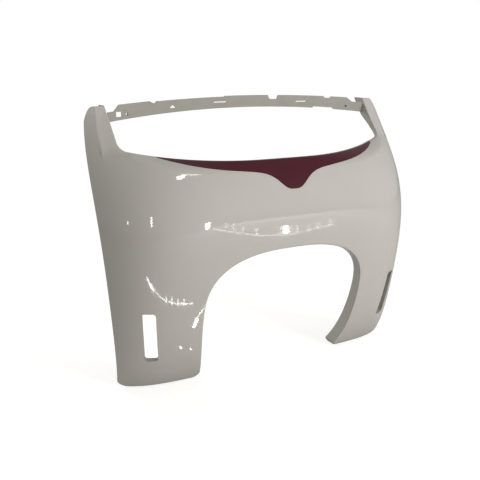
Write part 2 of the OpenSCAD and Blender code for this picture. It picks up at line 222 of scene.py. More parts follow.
class Skin:
    """The outer surface of the panel, in millimetres.

    At each height z the plan swings back from the nose (s = 0) to the rear edge of the wing
    (s = 1) as s^n; the nose, the rear edge, the half width a and the power n are Bezier
    curves over the height, and x = a s. Their control values run from the foot to the top.
    """

    front = (-17, -99, -75, -114, -165, -94, 17)
    rear = (20.3, -35.2, 29.4, -94.3, 64.1, 93)
    power = (7.4, 6.9, 5.2, 2.6)

    def __init__(self, sizes):
        self.height = sizes.height / MM
        foot, waist, top = (w / MM for w in (
            sizes.foot_half_width, sizes.waist_half_width, sizes.top_half_width))
        # the half width's control values stand wider than the widths they lead to
        self.width = (foot, foot + 11, waist, waist + 13, top + 29, top)
        self.wall = sizes.wall / MM
        self.edge = sizes.edge_radius / MM
        # the opening, the hood's edge and the crease under it
        self.hood_z, self.hood_rise, self.hood_setback = self.height - 101, 20.0, 22.0
        self.opening_half_w, self.corner_r, self.corner_turn = top - 38, 16.0, 78.0
        self.foot_x = self.opening_half_w - self.corner_r * (1 - cos_deg(self.corner_turn))
        self.foot_z = self.hood_z + self.hood_rise
        self.edge_z = self.foot_z + self.corner_r * sin_deg(self.corner_turn)
        self.crease_x, self.crease_low, self.crease_high = top - 11.5, self.hood_z + 18, self.height - 31
        self.crease_drop, self.crease_rise = 23.0, 31.4
        self.hood_run = 0.8 * self.foot_x
        # the wheel arch and the foot
        self.arch_half_w, self.arch_wide_z, self.arch_top_z, self.arch_n = 184.0, 154.0, 275.0, 2.65
        self.toe_in, self.foot_r, self.foot_run, self.foot_end_x = 16.0, 14.0, 80.0, foot - 21
        self.rear_round = 14.0
        # depths of the returns: hood, its corner, pillar; top of the arch, its side, foot
        self.hood_return, self.corner_return, self.pillar_return = 9.0, 18.0, 30.0
        self.arch_return, self.side_return, self.foot_return = 18.0, 34.0, 48.0
        self.foot_corner_x = self.arch_half_w - self.toe_in + self.foot_r
        self.side_s0 = self.s_at(self.crease_x - 4, self.height)

    def half_width(self, z):
        """Half width of the shell at height z."""
        return bezier(self.width, z / self.height)

    def n(self, z):
        """Power of the plan curve at height z."""
        return bezier(self.power, z / self.height)

    def at(self, s, z):
        """Point at s and z."""
        front, rear = bezier(self.front, z / self.height), bezier(self.rear, z / self.height)
        return points(self.half_width(z) * s, lerp(front, rear, s ** self.n(z)), z)

    def s_at(self, x, z):
        """The s of a distance x from the mid-plane."""
        return np.minimum(1.0, np.maximum(x, 0.0) / self.half_width(z))

    def y(self, x, z):
        """Depth of the skin at x to the right of the mid-plane and height z."""
        return self.at(self.s_at(x, z), z)[..., 1]

    def normal(self, s, z):
        """Outward unit normal from the two tangents' cross product."""
        d = 0.004
        along = self.at(np.minimum(1, s + d), z) - self.at(np.maximum(0, s - d), z)
        return unit(np.cross(along, self.at(s, z + 1) - self.at(s, z - 1)))

    def hood_edge(self, x):
        """Height of the hood's edge over x."""
        return self.hood_z + self.hood_rise * (x / self.foot_x) ** 3.2

    def crease(self, x):
        """Height of the soft crease under the hood over x."""
        return self.hood_z - self.crease_drop + self.crease_rise * (x / self.foot_x) ** 3.6

    def setback(self, x):
        """How far the hood's edge lies behind the skin over x."""
        rise = ease(part_of(x, 0.2 * self.foot_x, 0.77 * self.foot_x))
        fade = ease(part_of(x, 0.84 * self.foot_x, self.foot_x))
        return lerp(2.0, self.hood_setback, rise) - (self.hood_setback - 12) * fade

    def opening_xz(self, k):
        """Edge of the opening: hood, corner arc, pillar and pillar top, as x and z over k."""
        x_hood = np.where(k <= ARCH, k * self.hood_run / ARCH,
                          lerp(self.hood_run, self.foot_x, part_of(k, ARCH, FOOT)))
        a = lerp(-self.corner_turn, 0.0, part_of(k, FOOT, BEND))
        x_arc = self.opening_half_w + self.corner_r * (cos_deg(a) - 1)
        z_arc = self.edge_z + self.corner_r * sin_deg(a)
        t = part_of(k, BEND, INNER_TOP)
        x_up, z_up = self.opening_half_w + 3 * t * t, lerp(self.edge_z, self.height, t)
        x_top = lerp(self.opening_half_w + 3, self.crease_x - 4, part_of(k, INNER_TOP, OUTER_TOP))
        regions = [k <= FOOT, k <= BEND, k <= INNER_TOP]
        x = np.select(regions, [x_hood, x_arc, x_up], x_top)
        z = np.select(regions, [self.hood_edge(x_hood), z_arc, z_up], self.height)
        return x, z

    def crease_xz(self, k):
        """The crease that the hood and the pillar's face start from, as x and z over k."""
        x_hood = np.minimum(self.opening_xz(k)[0], self.foot_x)
        t = part_of(k, FOOT, BEND)
        x_turn = lerp(self.foot_x, self.crease_x + 2.5, sin_deg(90 * t))
        z_turn = lerp(self.crease(self.foot_x), self.crease_low, t * t)
        up = part_of(k, BEND, OUTER_TOP)
        x_up = lerp(self.crease_x + 2.5, self.crease_x, up)
        z_up = lerp(self.crease_low, self.crease_high, up)
        x = np.select([k <= FOOT, k <= BEND], [x_hood, x_turn], x_up)
        z = np.select([k <= FOOT, k <= BEND], [self.crease(x_hood), z_turn], z_up)
        return x, z

    def side_top(self, k):
        """Top of the wing behind the pillar, as s and z: it falls by 25 mm as t^3.4."""
        t = part_of(k, OUTER_TOP, REAR)
        return lerp(self.side_s0, 1.0, t), self.height - 25 * t ** 3.4

    def side_low(self, k):
        """The line behind the crease's upper end, as s and z: it falls by 22 mm in a straight line."""
        t = part_of(k, OUTER_TOP, REAR)
        s0 = self.s_at(self.crease_x, self.crease_high)
        return lerp(s0, 1.0, t), self.crease_high - 22 * t

    def lower_edge(self, k):
        """Lower edge as s and z: half arch (superellipse), leaning side, foot and rear round."""
        a = 90 * part_of(k, 0, ARCH)
        x_arch = self.arch_half_w * np.maximum(sin_deg(a), 0) ** (2 / self.arch_n)
        z_arch = lerp(self.arch_wide_z, self.arch_top_z, np.maximum(cos_deg(a), 0) ** (2 / self.arch_n))
        t = part_of(k, ARCH, FOOT)
        x_side, z_side = self.arch_half_w - self.toe_in * t * t, lerp(self.arch_wide_z, self.foot_r, t)
        b = 90 * part_of(k, FOOT, BEND)
        x_turn, z_turn = self.foot_corner_x - self.foot_r * cos_deg(b), self.foot_r * (1 - sin_deg(b))
        x_run = np.where(
            k <= INNER_TOP,
            lerp(self.foot_corner_x, self.foot_corner_x + self.foot_run, part_of(k, BEND, INNER_TOP)),
            lerp(self.foot_corner_x + self.foot_run, self.foot_end_x, part_of(k, INNER_TOP, OUTER_TOP)))
        regions = [k <= ARCH, k <= FOOT, k <= BEND]
        x = np.select(regions, [x_arch, x_side, x_turn], x_run)
        z = np.select(regions, [z_arch, z_side, z_turn], 0.0)
        r = part_of(k, OUTER_TOP, REAR)
        s_rear = lerp(self.s_at(self.foot_end_x, 0.0), 1.0, sin_deg(90 * r))
        s = np.where(k <= OUTER_TOP, self.s_at(x, z), s_rear)
        return s, np.where(k <= OUTER_TOP, z, self.rear_round * (1 - cos_deg(90 * r)))

    def pillar_setback(self, k):
        """How far the pillar's inner edge lies behind the skin: 12 mm eased to 8 mm, 0 at its top."""
        return (lerp(12.0, 8.0, ease(part_of(k, BEND, INNER_TOP)))
                * (1 - part_of(k, INNER_TOP, OUTER_TOP)))

    def band(self, k, w):
        """Crease (w = 0) to opening edge (w = 1): a soft lay-back on the hood, ruled on a pillar."""
        cx, cz = self.crease_xz(k)
        ox, oz = self.opening_xz(k)
        flat = ease(part_of(k, FOOT - 2, BEND))[..., None]
        back = np.where(k <= FOOT, self.setback(ox), self.pillar_setback(k))
        x, z = lerp(cx, ox, w), lerp(cz, oz, w)
        soft = points(x, self.y(x, z) + back * w ** 1.7, z)
        ruled = points(x, lerp(self.y(cx, cz), self.y(ox, oz) + back, w), z)
        (s0, z0), (s1, z1) = self.side_low(k), self.side_top(k)
        side = self.at(lerp(s0, s1, w), lerp(z0, z1, w))
        return np.where((k >= OUTER_TOP)[..., None], side, lerp(soft, ruled, flat))

    def main(self, k, w):
        """Crease (w = 0) to lower edge (w = 1): s eases away as w^p, so no columns cross."""
        cx, cz = self.crease_xz(k)
        s_side, z_side = self.side_low(k)
        s0 = np.where(k >= OUTER_TOP, s_side, self.s_at(cx, cz))
        z0 = np.where(k >= OUTER_TOP, z_side, cz)
        s1, z1 = self.lower_edge(k)
        power = lerp(1.0, 4.0, ease(part_of(k, ARCH - 5, FOOT)))
        return self.at(lerp(s0, s1, w ** power), lerp(z0, z1, w))

    def upper_return(self, k):
        """Direction and depth of the return behind the opening's edge."""
        s, z = self.side_top(np.maximum(k, OUTER_TOP))
        turn = part_of(k, INNER_TOP, OUTER_TOP)[..., None]
        way = unit(lerp(np.array([0.0, 1.0, 0.0]), -self.normal(s, z), turn))
        deep = np.select(
            [k <= FOOT, k <= BEND, k <= INNER_TOP],
            [self.hood_return,
             lerp(self.hood_return, self.corner_return, part_of(k, FOOT, BEND)),
             lerp(self.corner_return, self.pillar_return, ease(part_of(k, BEND, BEND + 3)))],
            lerp(self.pillar_return, self.edge + 2, part_of(k, INNER_TOP, INNER_TOP + 1)))
        return way, deep[..., None]

    def lower_return(self, k):
        """Direction and depth of the return behind the lower edge."""
        s, z = self.lower_edge(k)
        turn = part_of(k, INNER_TOP, OUTER_TOP)[..., None]
        way = unit(lerp(np.array([0.0, 1.0, 0.0]), -self.normal(s, z), turn))
        deep = np.select(
            [k <= ARCH, k <= FOOT],
            [lerp(self.arch_return, self.side_return, part_of(k, 0, ARCH)),
             lerp(self.side_return, self.foot_return, part_of(k, ARCH, FOOT))],
            lerp(self.foot_return, self.edge + 2, ease(part_of(k, FOOT, BEND))))
        return way, deep[..., None]

    def rounded(self, corner, back, on, t):
        """A quadratic curve from corner + back r to corner + on r, tangent to both faces."""
        return corner + self.edge * (back * (1 - t) ** 2 + on * t ** 2)

    def soft_crease(self, k, face):
        """The face with the crease along the pillar rounded off.

        What stands off the skin is averaged along each column with Gaussian weights over the
        distance, 10 mm wide at the pillar's foot and 3 mm at its top; near the opening's edge
        the face stays as it is.
        """
        x, y, z = face[..., 0], face[..., 1], face[..., 2]
        off = y - self.y(x, z)
        step = np.hypot(np.diff(x, axis=1), np.diff(z, axis=1))
        far = np.concatenate([np.zeros((len(x), 1)), np.cumsum(step, axis=1)], axis=1)
        share = np.gradient(far, axis=1)
        width = lerp(10.0, 3.0, ease(part_of(k, FOOT, BEND + 4)))[..., None]
        weight = np.exp(-0.5 * ((far[:, :, None] - far[:, None, :]) / width) ** 2) * share[:, None, :]
        mean = (weight * off[:, None, :]).sum(axis=2) / weight.sum(axis=2)
        turn = part_of(far, 0.0, 12.0) * part_of(k, FOOT - 1, FOOT)
        return points(x, self.y(x, z) + lerp(off, mean, turn), z)

    def shell_grid(self, k):
        """Columns k by rows from the end of the upper return to the end of the lower return."""
        k = k[:, None] + np.zeros((1, 1))
        top, low = self.band(k, 1.0 + 0 * k), self.main(k, 1.0 + 0 * k)
        top_on = unit(self.band(k, 0.8 + 0 * k) - top)
        low_on = unit(self.main(k, 0.97 + 0 * k) - low)
        top_way, top_deep = self.upper_return(k)
        low_way, low_deep = self.lower_return(k)
        w_top = 1 - self.edge / np.linalg.norm(self.band(k, 0 * k) - top, axis=-1)
        w_low = 1 - self.edge / np.linalg.norm(self.main(k, 0 * k) - low, axis=-1)
        u_ret = np.linspace(1, 0, RETURN_ROWS)[None, :-1, None]
        u_edge = np.linspace(0, 1, EDGE_ROWS)[None, :, None]
        u_band = np.linspace(1, 0, BAND_ROWS)[None, 1:]
        u_main = np.linspace(0, 1, MAIN_ROWS)[None, 1:-1] ** 1.5
        face = np.concatenate([self.band(k + 0 * u_band, w_top * u_band),
                               self.main(k + 0 * u_main, w_low * u_main)], axis=1)
        rows = [
            top + top_way * lerp(self.edge, top_deep, u_ret),
            self.rounded(top, top_way, top_on, u_edge),
            self.soft_crease(k, face),
            self.rounded(low, low_on, low_way, u_edge),
            low + low_way * lerp(self.edge, low_deep, 1 - u_ret),
        ]
        return np.concatenate(rows, axis=1)


# Meshes


def grid_normals(g):
    """Unit normals of a grid from the sums of the unit steps on both sides of each point."""
    def steps(a, axis):
        d = unit(np.diff(a, axis=axis))
        pad = [(0, 0)] * 3
        before, after = list(pad), list(pad)
        before[axis], after[axis] = (1, 0), (0, 1)
        return np.pad(d, before) + np.pad(d, after)
    return unit(np.cross(steps(g, 1), steps(g, 0)))


def mirror_grid(half):
    """A half grid whose first column lies on the mid-plane, joined to its mirror image."""
    other = half[:0:-1].copy()
    other[..., 0] *= -1
    return np.concatenate([other, half], axis=0)


def quads_of(nc, nr):
    """Corner numbers of the faces of a grid of nc columns and nr rows."""
    p = (np.arange(nc - 1)[:, None] * nr + np.arange(nr - 1)[None, :]).ravel()
    return np.stack([p, p + nr, p + nr + 1, p + 1], axis=1)


def sheet_mesh(name, g, outer, inner):
    """A closed sheet between the grid raised by outer and by inner along its normals."""
    nc, nr = g.shape[:2]
    normal = grid_normals(g)
    verts = np.concatenate([(g + normal * outer).reshape(-1, 3), (g + normal * inner).reshape(-1, 3)])
    count = nc * nr
    top = quads_of(nc, nr)
    under = top[:, ::-1] + count
    ring = np.concatenate([
        np.arange(nc) * nr,
        (nc - 1) * nr + np.arange(1, nr),
        np.arange(nc - 2, -1, -1) * nr + nr - 1,
        np.arange(nr - 2, 0, -1)])
    after = np.roll(ring, -1)
    wall = np.stack([ring, ring + count, after + count, after], axis=1)
    return make_object(name, verts, np.concatenate([top, under, wall]))


def tube_mesh(name, loops):
    """Loops (n by m points) joined into a tube, with flat ends."""
    n, m = loops.shape[:2]
    a = np.arange(n - 1)[:, None] * m
    j = np.arange(m)[None, :]
    j2 = (j + 1) % m
    sides = np.stack([a + j, a + m + j, a + m + j2, a + j2], axis=-1).reshape(-1, 4)
    ends = [list(range(m)), list(range((n - 1) * m, n * m))[::-1]]
    return make_object(name, loops.reshape(-1, 3), [list(q) for q in sides] + ends)


def ring_mesh(name, loops):
    """Loops (n by m points) joined one to the next, and the last to the first."""
    n, m = loops.shape[:2]
    a, j = np.arange(n)[:, None] * m, np.arange(m)[None, :]
    b, j2 = np.roll(a, -1, axis=0), (j + 1) % m
    faces = np.stack([a + j, b + j, b + j2, a + j2], axis=-1).reshape(-1, 4)
    obj = make_object(name, loops.reshape(-1, 3), faces)
    recalc(obj)
    return obj


def lathe_y(name, profile, x, z):
    """A profile of (radius, y) pairs turned about a line along Y through x and z."""
    a = np.linspace(0, 2 * np.pi, TURNED_SIDES, endpoint=False)
    r, y = np.array(profile, float).T
    return ring_mesh(name, points(x + r[:, None] * np.cos(a), y[:, None],
                                  z + r[:, None] * np.sin(a)))


def box_mesh(name, low, high):
    """A block between two corners, in millimetres."""
    corners = [(x, y, z) for x in (low[0], high[0]) for y in (low[1], high[1])
               for z in (low[2], high[2])]
    obj = make_object(name, corners, [(0, 1, 3, 2), (4, 6, 7, 5), (0, 4, 5, 1), (2, 3, 7, 6),
                                      (0, 2, 6, 4), (1, 5, 7, 3)])
    recalc(obj)
    return obj


def make_object(name, verts, faces):
    """A mesh object from points in millimetres, set in the scene in metres."""
    mesh = bpy.data.meshes.new(name)
    mesh.from_pydata((np.asarray(verts) * MM).tolist(), [], [list(map(int, f)) for f in faces])
    mesh.validate()
    mesh.update()
    obj = bpy.data.objects.new(name, mesh)
    bpy.context.scene.collection.objects.link(obj)
    return obj


def recalc(obj):
    """Turns every face outwards."""
    bm = bmesh.new()
    bm.from_mesh(obj.data)
    bmesh.ops.recalc_face_normals(bm, faces=bm.faces)
    bm.to_mesh(obj.data)
    bm.free()


def cut(obj, tools):
    """Takes the tools out of the object and leaves one plain mesh."""
    for tool in tools:
        mod = obj.modifiers.new("cut", "BOOLEAN")
        mod.operation, mod.solver, mod.object = "DIFFERENCE", "EXACT", tool
    done = bpy.data.meshes.new_from_object(obj.evaluated_get(bpy.context.evaluated_depsgraph_get()))
    old = obj.data
    obj.modifiers.clear()
    obj.data = done
    done.name = obj.name
    bpy.data.meshes.remove(old)
    for tool in tools:
        bpy.data.objects.remove(tool)


def soften(obj, angle):
    """Smooth shading, with edges sharper than the angle left crisp."""
    obj.data.shade_smooth()
    obj.data.set_sharp_from_angle(angle=np.radians(angle))


def dress(obj, material, slot, *nodes):
    """Gives a finished piece its material and its body, and hides the nodes it stands for; slot is not
    used.
    """
    if material:
        obj.data.materials.clear()
        obj.data.materials.append(material)
    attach(obj, "root")
    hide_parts(*nodes)


def shell_columns():
    """Column numbers, closer together where the edge turns."""
    runs = ((0, ARCH, 66), (ARCH, FOOT, 20), (FOOT, BEND, 22), (BEND, INNER_TOP, 24),
            (INNER_TOP, OUTER_TOP, 14), (OUTER_TOP, REAR, 22))
    parts = [np.linspace(a, b, n, endpoint=False) for a, b, n in runs]
    return np.concatenate(parts + [[float(REAR)]])


def slot_outline(grow):
    """Points round a slot grown by grow: four corner arcs, as u across and v up."""
    w, h, r = SLOT_W + 2 * grow, SLOT_H + 2 * grow, SLOT_R + grow
    a = np.radians(np.arange(0, 360, 10) + 5.0)
    u, v = np.cos(a), np.sin(a)
    return r * u + np.sign(u) * (w / 2 - r), r * v + np.sign(v) * (h / 2 - r)


def slot_axes(skin):
    """Middle of a slot on the skin, and its unit directions across, up and inwards."""
    z0 = np.array(SLOT_Z)
    s0 = skin.s_at(np.array(SLOT_X), z0)
    inwards = -skin.normal(s0, z0)
    across = unit(np.cross([0.0, 0.0, 1.0], inwards))
    return skin.at(s0, z0), across, np.cross(inwards, across), inwards


def slot_loops(skin, side, outline, depths):
    """Loops of points of a slot's outline at the given depths behind the skin's middle."""
    middle, across, up, inwards = slot_axes(skin)
    u, v = outline
    flat = middle + u[:, None] * across + v[:, None] * up
    loops = np.stack([flat + np.reshape(d, (-1, 1)) * inwards for d in depths])
    loops[..., 0] *= side
    return loops


def slot_cutter(name, skin, side):
    """A rounded bar square to the skin that cuts a reflector slot."""
    obj = tube_mesh(name, slot_loops(skin, side, slot_outline(0.0), (-SLOT_CUT, SLOT_CUT)))
    recalc(obj)
    return obj


def slot_collar(name, skin, side):
    """The short wall behind a slot, which starts inside the curved sheet.

    Each outline point is brought to a depth below the skin by repeated steps along the
    slot's axis, since the skin is given as a depth y over x and z.
    """
    middle, across, up, inwards = slot_axes(skin)
    loops = []
    for grow in (0.0, skin.wall):
        u, v = slot_outline(grow)
        flat = middle + u[:, None] * across + v[:, None] * up
        d = np.zeros(len(u))
        for _ in range(8):
            here = flat + d[:, None] * inwards
            d = d + (skin.y(here[:, 0], here[:, 2]) + COLLAR_TUCK - here[:, 1]) / inwards[1]
        loops.append(slot_loops(skin, side, (u, v), (d, np.full(len(u), COLLAR_END))))
    inner, outer = loops
    return ring_mesh(name, np.stack([inner[0], inner[1], outer[1], outer[0]]))


# Materials


def add_node(tree, kind, inputs=None, **settings):
    """Adds a node: settings are its own values, and inputs hold values or sockets to link."""
    node = tree.nodes.new(kind)
    for key, value in settings.items():
        setattr(node, key, value)
    for key, value in (inputs or {}).items():
        if isinstance(value, bpy.types.NodeSocket):
            tree.links.new(value, node.inputs[key])
        else:
            node.inputs[key].default_value = value
    return node


def new_material(name):
    """An empty material and its node tree."""
    material = bpy.data.materials.new(name)
    material.use_nodes = True
    material.node_tree.nodes.clear()
    return material, material.node_tree


def glossy_moulded_abs(colour):
    """Pigmented ABS from a polished mould: a clear gloss over an even warm grey.

    The mould's polish leaves a faint waviness 16 mm long, which bends the lamps' reflections,
    handling leaves the gloss uneven over some 35 mm, and the grey clouds a little over 120 mm.
    """
    material, tree = new_material("glossy_moulded_abs")
    place = add_node(tree, "ShaderNodeTexCoord").outputs["Object"]
    cloud = add_node(tree, "ShaderNodeTexNoise", inputs={
        "Vector": place, "Scale": 1 / (120 * MM), "Detail": 2.0, "Roughness": 0.5})
    shade = add_node(tree, "ShaderNodeMix", data_type="RGBA", inputs={
        "Factor": cloud.outputs["Fac"],
        6: (*(0.97 * c for c in colour), 1.0), 7: (*(1.03 * c for c in colour), 1.0)})
    handled = add_node(tree, "ShaderNodeTexNoise", inputs={
        "Vector": place, "Scale": 1 / (35 * MM), "Detail": 4.0, "Roughness": 0.6})
    rough = add_node(tree, "ShaderNodeMapRange", inputs={
        "Value": handled.outputs["Fac"], "To Min": 0.05, "To Max": 0.09})
    wave = add_node(tree, "ShaderNodeTexNoise", inputs={
        "Vector": place, "Scale": 1 / (16 * MM), "Detail": 1.0, "Roughness": 0.4})
    bump = add_node(tree, "ShaderNodeBump", inputs={
        "Height": wave.outputs["Fac"], "Strength": 0.12, "Distance": 0.3 * MM})
    shader = add_node(tree, "ShaderNodeBsdfPrincipled", inputs={
        "Base Color": shade.outputs[2], "Roughness": rough.outputs["Result"],
        "Normal": bump.outputs["Normal"], "IOR": 1.53, "Metallic": 0.0,
        "Coat Weight": 0.35, "Coat Roughness": 0.04})
    add_node(tree, "ShaderNodeOutputMaterial", inputs={"Surface": shader.outputs["BSDF"]})
    return material


def matte_abs_painted_shade(colour):
    """The same ABS, matte from the mould's unpolished core, with painted shade: darker and a little
    green.

    The spark-eroded core leaves a grain 1.2 mm long.
    """
    material, tree = new_material("matte_abs_painted_shade")
    place = add_node(tree, "ShaderNodeTexCoord").outputs["Object"]
    grain = add_node(tree, "ShaderNodeTexNoise", inputs={
        "Vector": place, "Scale": 1 / (1.2 * MM), "Detail": 3.0, "Roughness": 0.6})
    bump = add_node(tree, "ShaderNodeBump", inputs={
        "Height": grain.outputs["Fac"], "Strength": 0.3, "Distance": 0.1 * MM})
    cloud = add_node(tree, "ShaderNodeTexNoise", inputs={
        "Vector": place, "Scale": 1 / (30 * MM), "Detail": 3.0, "Roughness": 0.5})
    # painted shade: the inside, the rim, the bosses and the collars get this darker, greener tint
    painted_shade_tint = [c * k for c, k in zip(colour, (0.70, 0.70, 0.67))]
    shade = add_node(tree, "ShaderNodeMix", data_type="RGBA", inputs={
        "Factor": cloud.outputs["Fac"],
        6: (*(0.90 * c for c in painted_shade_tint), 1.0), 7: (*(1.10 * c for c in painted_shade_tint), 1.0)})
    shader = add_node(tree, "ShaderNodeBsdfPrincipled", inputs={
        "Base Color": shade.outputs[2], "Roughness": 0.55, "IOR": 1.53, "Metallic": 0.0,
        "Normal": bump.outputs["Normal"]})
    add_node(tree, "ShaderNodeOutputMaterial", inputs={"Surface": shader.outputs["BSDF"]})
    return material


def gloss_vinyl_film(colour):
    """Cast vinyl film, printed dark maroon: a softer gloss than the shell's keeps it deep.

    Its glue leaves a fine orange peel 4 mm long.
    """
    material, tree = new_material("gloss_vinyl_film")
    place = add_node(tree, "ShaderNodeTexCoord").outputs["Object"]
    tone = add_node(tree, "ShaderNodeTexNoise", inputs={
        "Vector": place, "Scale": 1 / (40 * MM), "Detail": 3.0, "Roughness": 0.5})
    shade = add_node(tree, "ShaderNodeMix", data_type="RGBA", inputs={
        "Factor": tone.outputs["Fac"],
        6: (*(0.88 * c for c in colour), 1.0), 7: (*(1.12 * c for c in colour), 1.0)})
    peel = add_node(tree, "ShaderNodeTexNoise", inputs={
        "Vector": place, "Scale": 1 / (4 * MM), "Detail": 1.0})
    bump = add_node(tree, "ShaderNodeBump", inputs={
        "Height": peel.outputs["Fac"], "Strength": 0.06, "Distance": 0.1 * MM})
    shader = add_node(tree, "ShaderNodeBsdfPrincipled", inputs={
        "Base Color": shade.outputs[2], "Roughness": 0.3, "IOR": 1.5, "Metallic": 0.0,
        "Specular IOR Level": 0.3, "Normal": bump.outputs["Normal"]})
    add_node(tree, "ShaderNodeOutputMaterial", inputs={"Surface": shader.outputs["BSDF"]})
    return material


def shell_material(make=glossy_moulded_abs):
    """The one material that a function makes, made on first use."""
    return (bpy.data.materials.get(make.__name__)
            or make(bpy.context.scene.panel_finishes.shell_colour))


# Operators


class PANEL_OT_shell(bpy.types.Operator):
    """Build the moulded shell with its returns and reflector slots"""

    bl_idname = "front_panel.shell"
    bl_label = "Shell"

    def execute(self, context):
        skin = Skin(context.scene.panel_shell)
        grid = mirror_grid(skin.shell_grid(shell_columns()))
        half_w = CAD_BOX[1][0] / MM  # the wings reach just as far as the solid's
        grid[..., 0] = np.clip(grid[..., 0], -half_w, half_w)
        obj = sheet_mesh("moulded_shell", grid, 0.0, -skin.wall)
        outer = (grid.shape[0] - 1) * (grid.shape[1] - 1)
        obj.data.materials.append(shell_material())
        # the inside takes the matte ABS, tinted darker and greener as painted shade
        obj.data.materials.append(shell_material(matte_abs_painted_shade))
        inner = np.arange(len(obj.data.polygons)) >= outer
        obj.data.polygons.foreach_set("material_index", inner.astype(np.int32))
        cut(obj, [slot_cutter("slot_tool", skin, side) for side in (-1, 1)])
        soften(obj, 32)
        dress(obj, None, "moulded_shell", "front_panel")
        return {"FINISHED"}


def rim_y(x):
    """Front face of the rim, a circle arc in plan that bows back at the middle, and its radius."""
    r = (RIM_END_X ** 2 + RIM_BOW ** 2) / (2 * RIM_BOW)
    return RIM_END_Y + RIM_BOW - r + np.sqrt(r * r - x * x), r


def notch(x, centre, half, slope, depth):
    """Depth of a notch over x: level over its floor and straight down at both ends."""
    return depth * part_of(half + slope - np.abs(x - centre * RIM_END_X), 0, slope)


def rim_heights(x):
    """Lower and upper edge of the rim over x: two parabolas less their notches."""
    low = RIM_LOW_Z - RIM_LOW_FALL * (x / RIM_END_X) ** 2 + notch(x, *RIM_CUT_OUT)
    high = RIM_HIGH_Z - RIM_HIGH_FALL * (x / RIM_END_X) ** 2
    return low, high - np.max([notch(x, *q) for q in RIM_NOTCHES], axis=0)


class PANEL_OT_rim(bpy.types.Operator):
    """Build the notched rear rim between the pillars, with its windows and screw holes"""

    bl_idname = "front_panel.rim"
    bl_label = "Rear Rim"

    def execute(self, context):
        skin = Skin(context.scene.panel_shell)
        x = np.linspace(-RIM_END_X, RIM_END_X, RIM_COLUMNS)
        low, high = rim_heights(x)
        y, r = rim_y(x)
        out = np.stack([x / r, np.sqrt(1 - (x / r) ** 2), 0 * x], axis=1)
        front = np.stack([x, y, 0 * x], axis=1)
        # the loop round the section: depth behind the front face, edge, and distance from the edge
        c, wall = RIM_CHAMFER, skin.wall
        loop = [(0, low, c), (0, high, -c), (c, high, 0), (wall - c, high, 0),
                (wall, high, -c), (wall, low, c), (wall - c, low, 0), (c, low, 0)]
        rows = [points(*(front + out * deep)[:, :2].T, edge + inset) for deep, edge, inset in loop]
        obj = tube_mesh("rear_rim", np.stack(rows, axis=1))
        recalc(obj)
        y0, y1 = RIM_CUT_Y
        tools = [box_mesh("window_tool", (x0, y0, z0), (x1, y1, z1)) for x0, x1, z0, z1 in RIM_WINDOWS]
        corners = np.array(RIM_TRIANGLE)
        tools.append(tube_mesh("window_tool", points(
            corners[None, :, 0], np.array(RIM_CUT_Y)[:, None], corners[None, :, 1])))
        recalc(tools[-1])
        tools += [lathe_y("bore_tool", [(0, y0), (BORE_R, y0), (BORE_R, y1), (0, y1)],
                          side * SCREW_X, SCREW_Z) for side in (-1, 1)]
        cut(obj, tools)
        soften(obj, 40)
        dress(obj, shell_material(matte_abs_painted_shade), "moulded_shell", "front_panel")
        return {"FINISHED"}


def boss_mouth(end):
    """Section of a boss's open end at y = end, from the bore to the outside, both edges cut off."""
    c = BOSS_CHAMFER
    return [(BORE_R, end - c), (BORE_R + c, end), (BOSS_R - c, end), (BOSS_R, end - c)]


class PANEL_OT_bosses(bpy.types.Operator):
    """Build the screw bosses of the rim, the pin sockets and the collars of the slots"""

    bl_idname = "front_panel.bosses"
    bl_label = "Bosses and Collars"

    def execute(self, context):
        skin = Skin(context.scene.panel_shell)
        rim = float(rim_y(SCREW_X)[0])
        foot = rim + SCREW_SINK
        screw_section = [(BORE_R, foot), *boss_mouth(rim + SCREW_LENGTH), (BOSS_R, foot)]
        pin = float(skin.y(np.array(PIN_X), np.array(PIN_Z))) + PIN_SINK
        floor = pin + PIN_FLOOR
        socket_section = [
            (0, floor), (BORE_R, floor), *boss_mouth(pin + PIN_LENGTH), (BOSS_R, pin), (0, pin)]
        for side, hand in ((-1, "left"), (1, "right")):
            screw = lathe_y("screw_boss_" + hand, screw_section, side * SCREW_X, SCREW_Z)
            socket = lathe_y("pin_socket_" + hand, socket_section, side * PIN_X, PIN_Z)
            collar = slot_collar("slot_collar_" + hand, skin, side)
            for obj in (screw, socket, collar):
                soften(obj, 40)
                dress(obj, shell_material(matte_abs_painted_shade), "moulded_shell", "front_panel")
        return {"FINISHED"}


def film_low(skin, x):
    """Lower edge of the film: a band that tapers outwards and falls to a tab at the middle."""
    x = np.abs(x)
    tab = FILM_TAB_DROP / (1 + (x / FILM_TAB_HALF_W) ** 3.1)
    return skin.hood_edge(x) - lerp(FILM_BAND_MID, FILM_BAND_END, (x / FILM_HALF_W) ** 2.4) - tab


